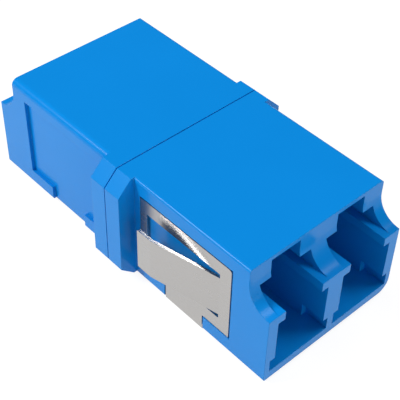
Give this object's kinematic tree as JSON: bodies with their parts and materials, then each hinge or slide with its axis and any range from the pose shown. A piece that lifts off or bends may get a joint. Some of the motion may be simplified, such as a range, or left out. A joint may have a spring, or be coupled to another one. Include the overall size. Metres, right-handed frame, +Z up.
{
  "type": "duplex small-form fibre adapter",
  "caption": "Straight-through panel adapter that joins two pairs of small-form fibre plugs, with stepped latching ports, a collar and a folded spring clip.",
  "frame": {"origin": "centre of the footprint, under the middle of the seam, on the under side of the clip's strap", "axes": "+X across the two ports, +Y along the plugs from the front (clip) end to the rear end, +Z up, towards the latch levers"},
  "size_m": [0.0156, 0.0298, 0.0098],
  "materials": {
    "housing_plastic": "satin moulded blue thermoplastic",
    "spring_steel": "rolled stainless spring strip, fine grain",
    "sleeve_ceramic": "ground white zirconia ceramic"
  },
  "bodies": {
    "root": {"front_housing": "housing_plastic", "rear_housing": "housing_plastic", "panel_clip": "spring_steel", "split_sleeve_left": "sleeve_ceramic", "split_sleeve_right": "sleeve_ceramic"}
  },
  "joints": []
}
